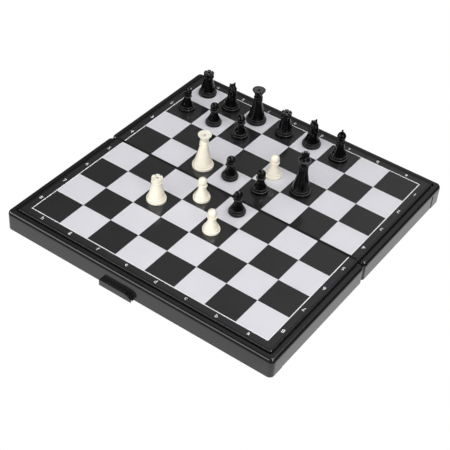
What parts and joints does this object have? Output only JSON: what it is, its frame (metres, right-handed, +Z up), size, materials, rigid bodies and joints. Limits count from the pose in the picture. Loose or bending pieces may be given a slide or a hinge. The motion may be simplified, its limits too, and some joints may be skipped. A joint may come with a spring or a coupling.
{
  "type": "folding magnetic travel chess set",
  "caption": "Shallow two-part folding case whose outside is a chessboard, with a seam hinge, a sliding latch and magnetic chess men standing on it.",
  "frame": {"origin": "on the ground, under the middle of the set's whole box with the board open", "axes": "+X along the seam between the halves, +Y away from the latch, +Z up"},
  "size_m": [0.317, 0.3292, 0.0776],
  "materials": {
    "case_plastic": "semi-gloss moulded black plastic",
    "latch_plastic": "semi-gloss moulded black plastic",
    "board_print": "satin printed film, pale grey and near-black squares",
    "steel": "thin tinned sheet",
    "pin_steel": "drawn wire",
    "magnet": "sintered ferrite disc",
    "black_men": "glossy injection-moulded plastic",
    "white_men": "cream injection-moulded plastic, soft gloss"
  },
  "bodies": {
    "near_half": {"near_shell": "case_plastic", "near_steel_plate": "steel", "near_board_sheet": "board_print", "hinge_pin_left": "pin_steel", "hinge_pin_right": "pin_steel"},
    "far_half": {"far_shell": "case_plastic", "far_steel_plate": "steel", "far_board_sheet": "board_print"},
    "latch": {"latch_slider": "latch_plastic"},
    "black_rook_left": {"black_rook_left": "black_men", "black_rook_left_magnet": "magnet"},
    "black_knight_left": {"black_knight_left": "black_men", "black_knight_left_magnet": "magnet"},
    "black_queen": {"black_queen": "black_men", "black_queen_magnet": "magnet"},
    "black_rook_right": {"black_rook_right": "black_men", "black_rook_right_magnet": "magnet"},
    "black_knight_right": {"black_knight_right": "black_men", "black_knight_right_magnet": "magnet"},
    "black_bishop": {"black_bishop": "black_men", "black_bishop_magnet": "magnet"},
    "black_pawn_1": {"black_pawn_1": "black_men", "black_pawn_1_magnet": "magnet"},
    "black_pawn_2": {"black_pawn_2": "black_men", "black_pawn_2_magnet": "magnet"},
    "black_pawn_3": {"black_pawn_3": "black_men", "black_pawn_3_magnet": "magnet"},
    "black_king": {"black_king": "black_men", "black_king_magnet": "magnet"},
    "white_pawn_1": {"white_pawn_1": "white_men", "white_pawn_1_magnet": "magnet"},
    "white_queen": {"white_queen": "white_men", "white_queen_magnet": "magnet"},
    "black_pawn_4": {"black_pawn_4": "black_men", "black_pawn_4_magnet": "magnet"},
    "black_pawn_5": {"black_pawn_5": "black_men", "black_pawn_5_magnet": "magnet"},
    "white_pawn_2": {"white_pawn_2": "white_men", "white_pawn_2_magnet": "magnet"},
    "black_pawn_6": {"black_pawn_6": "black_men", "black_pawn_6_magnet": "magnet"},
    "white_rook": {"white_rook": "white_men", "white_rook_magnet": "magnet"},
    "white_pawn_3": {"white_pawn_3": "white_men", "white_pawn_3_magnet": "magnet"}
  },
  "joints": [
    {"name": "seam_fold", "type": "hinge", "parent": "near_half", "child": "far_half", "pos_m": [0, 0.00063, 0.0025], "axis": [-1, 0, 0], "range_deg": [0, 180]},
    {"name": "latch_slide", "type": "slide", "parent": "near_half", "child": "latch", "axis": [1, 0, 0], "range_m": [0, 0.017]},
    {"name": "black_rook_left_lift", "type": "slide", "parent": "far_half", "child": "black_rook_left", "axis": [0, 0, 1], "range_m": [0, 0.06]},
    {"name": "black_knight_left_lift", "type": "slide", "parent": "far_half", "child": "black_knight_left", "axis": [0, 0, 1], "range_m": [0, 0.06]},
    {"name": "black_queen_lift", "type": "slide", "parent": "far_half", "child": "black_queen", "axis": [0, 0, 1], "range_m": [0, 0.06]},
    {"name": "black_rook_right_lift", "type": "slide", "parent": "far_half", "child": "black_rook_right", "axis": [0, 0, 1], "range_m": [0, 0.06]},
    {"name": "black_knight_right_lift", "type": "slide", "parent": "far_half", "child": "black_knight_right", "axis": [0, 0, 1], "range_m": [0, 0.06]},
    {"name": "black_bishop_lift", "type": "slide", "parent": "far_half", "child": "black_bishop", "axis": [0, 0, 1], "range_m": [0, 0.06]},
    {"name": "black_pawn_1_lift", "type": "slide", "parent": "far_half", "child": "black_pawn_1", "axis": [0, 0, 1], "range_m": [0, 0.06]},
    {"name": "black_pawn_2_lift", "type": "slide", "parent": "far_half", "child": "black_pawn_2", "axis": [0, 0, 1], "range_m": [0, 0.06]},
    {"name": "black_pawn_3_lift", "type": "slide", "parent": "far_half", "child": "black_pawn_3", "axis": [0, 0, 1], "range_m": [0, 0.06]},
    {"name": "black_king_lift", "type": "slide", "parent": "far_half", "child": "black_king", "axis": [0, 0, 1], "range_m": [0, 0.06]},
    {"name": "white_pawn_1_lift", "type": "slide", "parent": "far_half", "child": "white_pawn_1", "axis": [0, 0, 1], "range_m": [0, 0.06]},
    {"name": "white_queen_lift", "type": "slide", "parent": "far_half", "child": "white_queen", "axis": [0, 0, 1], "range_m": [0, 0.06]},
    {"name": "black_pawn_4_lift", "type": "slide", "parent": "far_half", "child": "black_pawn_4", "axis": [0, 0, 1], "range_m": [0, 0.06]},
    {"name": "black_pawn_5_lift", "type": "slide", "parent": "far_half", "child": "black_pawn_5", "axis": [0, 0, 1], "range_m": [0, 0.06]},
    {"name": "white_pawn_2_lift", "type": "slide", "parent": "near_half", "child": "white_pawn_2", "axis": [0, 0, 1], "range_m": [0, 0.06]},
    {"name": "black_pawn_6_lift", "type": "slide", "parent": "near_half", "child": "black_pawn_6", "axis": [0, 0, 1], "range_m": [0, 0.06]},
    {"name": "white_rook_lift", "type": "slide", "parent": "near_half", "child": "white_rook", "axis": [0, 0, 1], "range_m": [0, 0.06]},
    {"name": "white_pawn_3_lift", "type": "slide", "parent": "near_half", "child": "white_pawn_3", "axis": [0, 0, 1], "range_m": [0, 0.06]}
  ]
}
